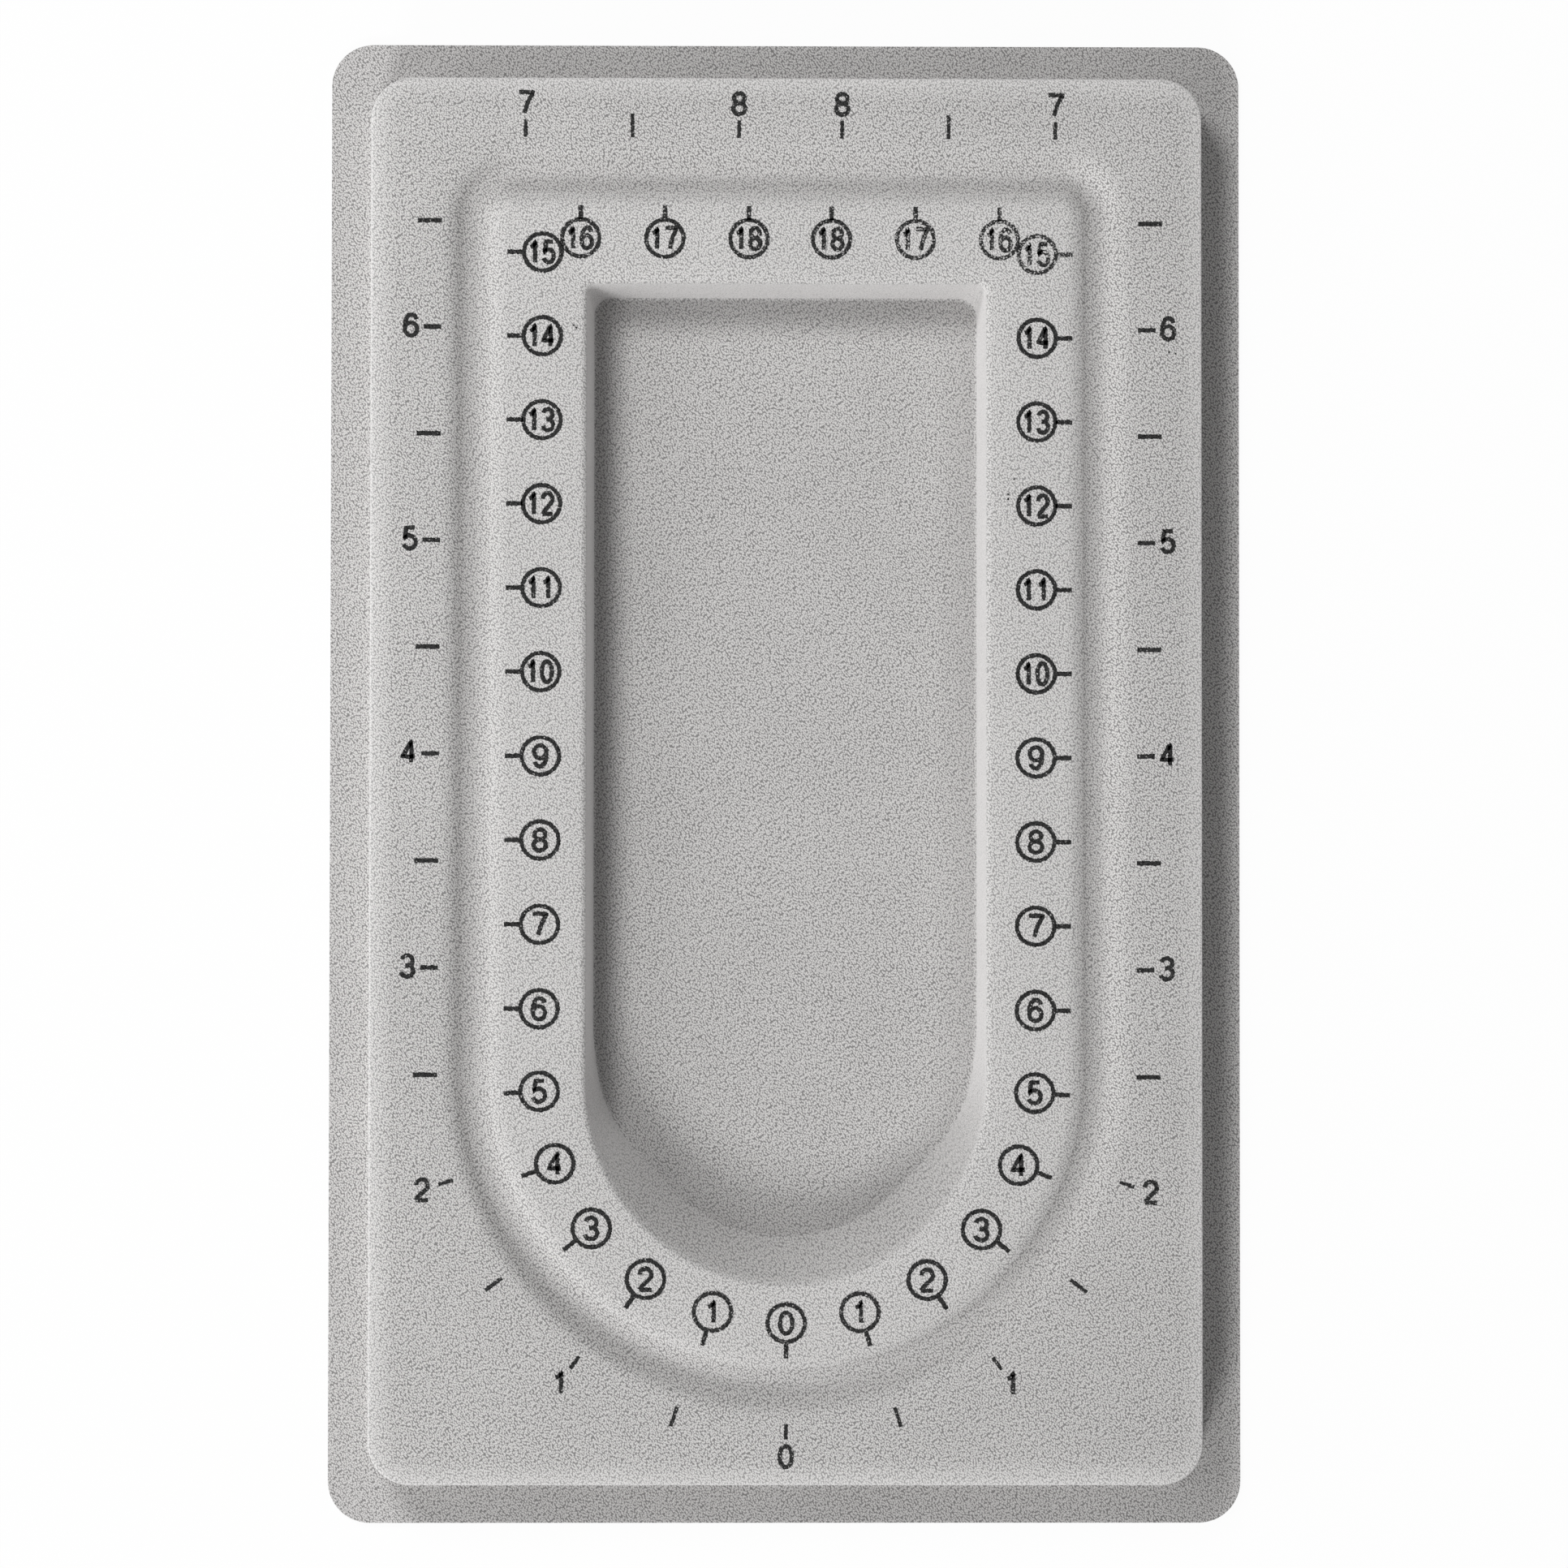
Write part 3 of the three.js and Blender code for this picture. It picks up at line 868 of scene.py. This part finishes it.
def ink_material():
    """Ink on the tips of the flock: where it is worn, more of the nap shows through."""
    nodes = Nodes("scale_ink")
    height, share = flock_nap(nodes)
    wear = nodes.math("MULTIPLY", nodes.attribute("wear"), WEAR_SHARE)
    bare = nodes.remap(nodes.math("ADD", nodes.noise(WEAR_GRAIN), wear), *WEAR_EDGE)
    inked = nodes.mix(share, INK_SHADE, INK_TIP)
    return nodes.finish(
        Base_Color=nodes.mix(bare, inked, nodes.mix(share, FLOCK_SHADE, FLOCK_TIP)),
        Roughness=0.95,
        Specular_IOR_Level=0.1,
        Normal=nodes.bump(height, strength=0.5, distance=0.12),
    )


def plastic_material():
    """Satin sheet plastic with a faint orange peel from forming."""
    nodes = Nodes("sheet_plastic")
    peel = nodes.noise(feature=0.9)
    draw = nodes.noise(feature=9)
    height = nodes.math("ADD", nodes.math("MULTIPLY", peel, PEEL_SHARE), draw)
    return nodes.finish(
        Base_Color=nodes.mix(draw, PLASTIC_SHADE, PLASTIC_PALE),
        Roughness=nodes.remap(peel, *NOISE_RANGE, to_low=0.38, to_high=0.52),
        Normal=nodes.bump(height, strength=0.25, distance=0.2),
    )


def adhesive_material():
    nodes = Nodes("adhesive")
    beads = nodes.noise(feature=0.3)
    return nodes.finish(
        Base_Color=nodes.mix(beads, ADHESIVE_SHADE, ADHESIVE_PALE),
        Roughness=nodes.remap(beads, *NOISE_RANGE, to_low=0.6, to_high=0.8),
        Normal=nodes.bump(beads, strength=0.3, distance=0.05),
    )


# Stage

def add_camera():
    camera = bpy.data.objects.new("camera", bpy.data.cameras.new("camera"))
    camera.location = Vector(CAMERA_PLACE) * MM
    camera.rotation_euler = [math.radians(angle) for angle in CAMERA_TURN]
    camera.data.lens = CAMERA_LENS
    bpy.context.scene.collection.objects.link(camera)
    bpy.context.scene.camera = camera


def add_softbox(name, place, size, power):
    """A square softbox aimed at the board."""
    lamp = bpy.data.lights.new(name, "AREA")
    lamp.size = size * MM
    lamp.energy = power
    softbox = bpy.data.objects.new(name, lamp)
    softbox.location = Vector(place) * MM
    softbox.rotation_euler = (-Vector(place)).to_track_quat("-Z", "Y").to_euler()
    bpy.context.scene.collection.objects.link(softbox)


def add_world():
    """Even fill light, and white where the camera or a reflection looks past the floor."""
    world = bpy.data.worlds.new("studio")
    world.use_nodes = True
    background = world.node_tree.nodes["Background"]
    path = world.node_tree.nodes.new("ShaderNodeLightPath")
    seen = world.node_tree.nodes.new("ShaderNodeMath")
    seen.operation = "MAXIMUM"
    strength = world.node_tree.nodes.new("ShaderNodeMapRange")
    strength.inputs["To Min"].default_value = FILL_LIGHT
    strength.inputs["To Max"].default_value = 1.0
    links = world.node_tree.links
    links.new(path.outputs["Is Camera Ray"], seen.inputs[0])
    links.new(path.outputs["Is Glossy Ray"], seen.inputs[1])
    links.new(seen.outputs[0], strength.inputs["Value"])
    links.new(strength.outputs[0], background.inputs["Strength"])
    background.inputs["Color"].default_value = WHITE
    bpy.context.scene.world = world


def add_floor():
    """A white floor that keeps a soft shadow: for the camera, part of it is plain white."""
    nodes = Nodes("floor")
    nodes.finish(Base_Color=FLOOR_SHADE, Roughness=1.0, Specular_IOR_Level=0.0)
    white = nodes.add("ShaderNodeEmission", Color=WHITE, Strength=1.0)
    path = nodes.add("ShaderNodeLightPath")
    mixed = nodes.add("ShaderNodeMixShader")
    nodes.set(mixed, 0, nodes.math("MULTIPLY", path.outputs["Is Camera Ray"], FLOOR_WHITE))
    nodes.set(mixed, 1, nodes.shader.outputs[0])
    nodes.set(mixed, 2, white.outputs[0])
    nodes.set(nodes.tree.nodes["Material Output"], "Surface", mixed.outputs[0])
    half = FLOOR_SIZE / 2
    corners = [(x, y, FLOOR_LEVEL) for x, y in ((-half, -half), (half, -half), (half, half), (-half, half))]
    add_mesh("floor", corners, [(0, 1, 2, 3)], nodes.material)


bpy.context.scene.view_settings.view_transform = "Standard"
add_camera()
for name, lamp in LAMPS.items():
    add_softbox(name, **lamp)
add_world()
add_floor()

flock = flock_material()
ink = ink_material()
sheet_top = SHEET_THICKNESS - LAMINATE
add_layer("plastic_sheet", -LAMINATE, sheet_top, plastic_material(), "formed_sheet")
add_layer("adhesive_film", sheet_top, -FLOCK_HEIGHT, adhesive_material(), "flock_adhesive")
add_layer("flock_nap", -FLOCK_HEIGHT, 0, flock, "flock_pile")
centimetre_scale(ink)
inch_scale(ink)
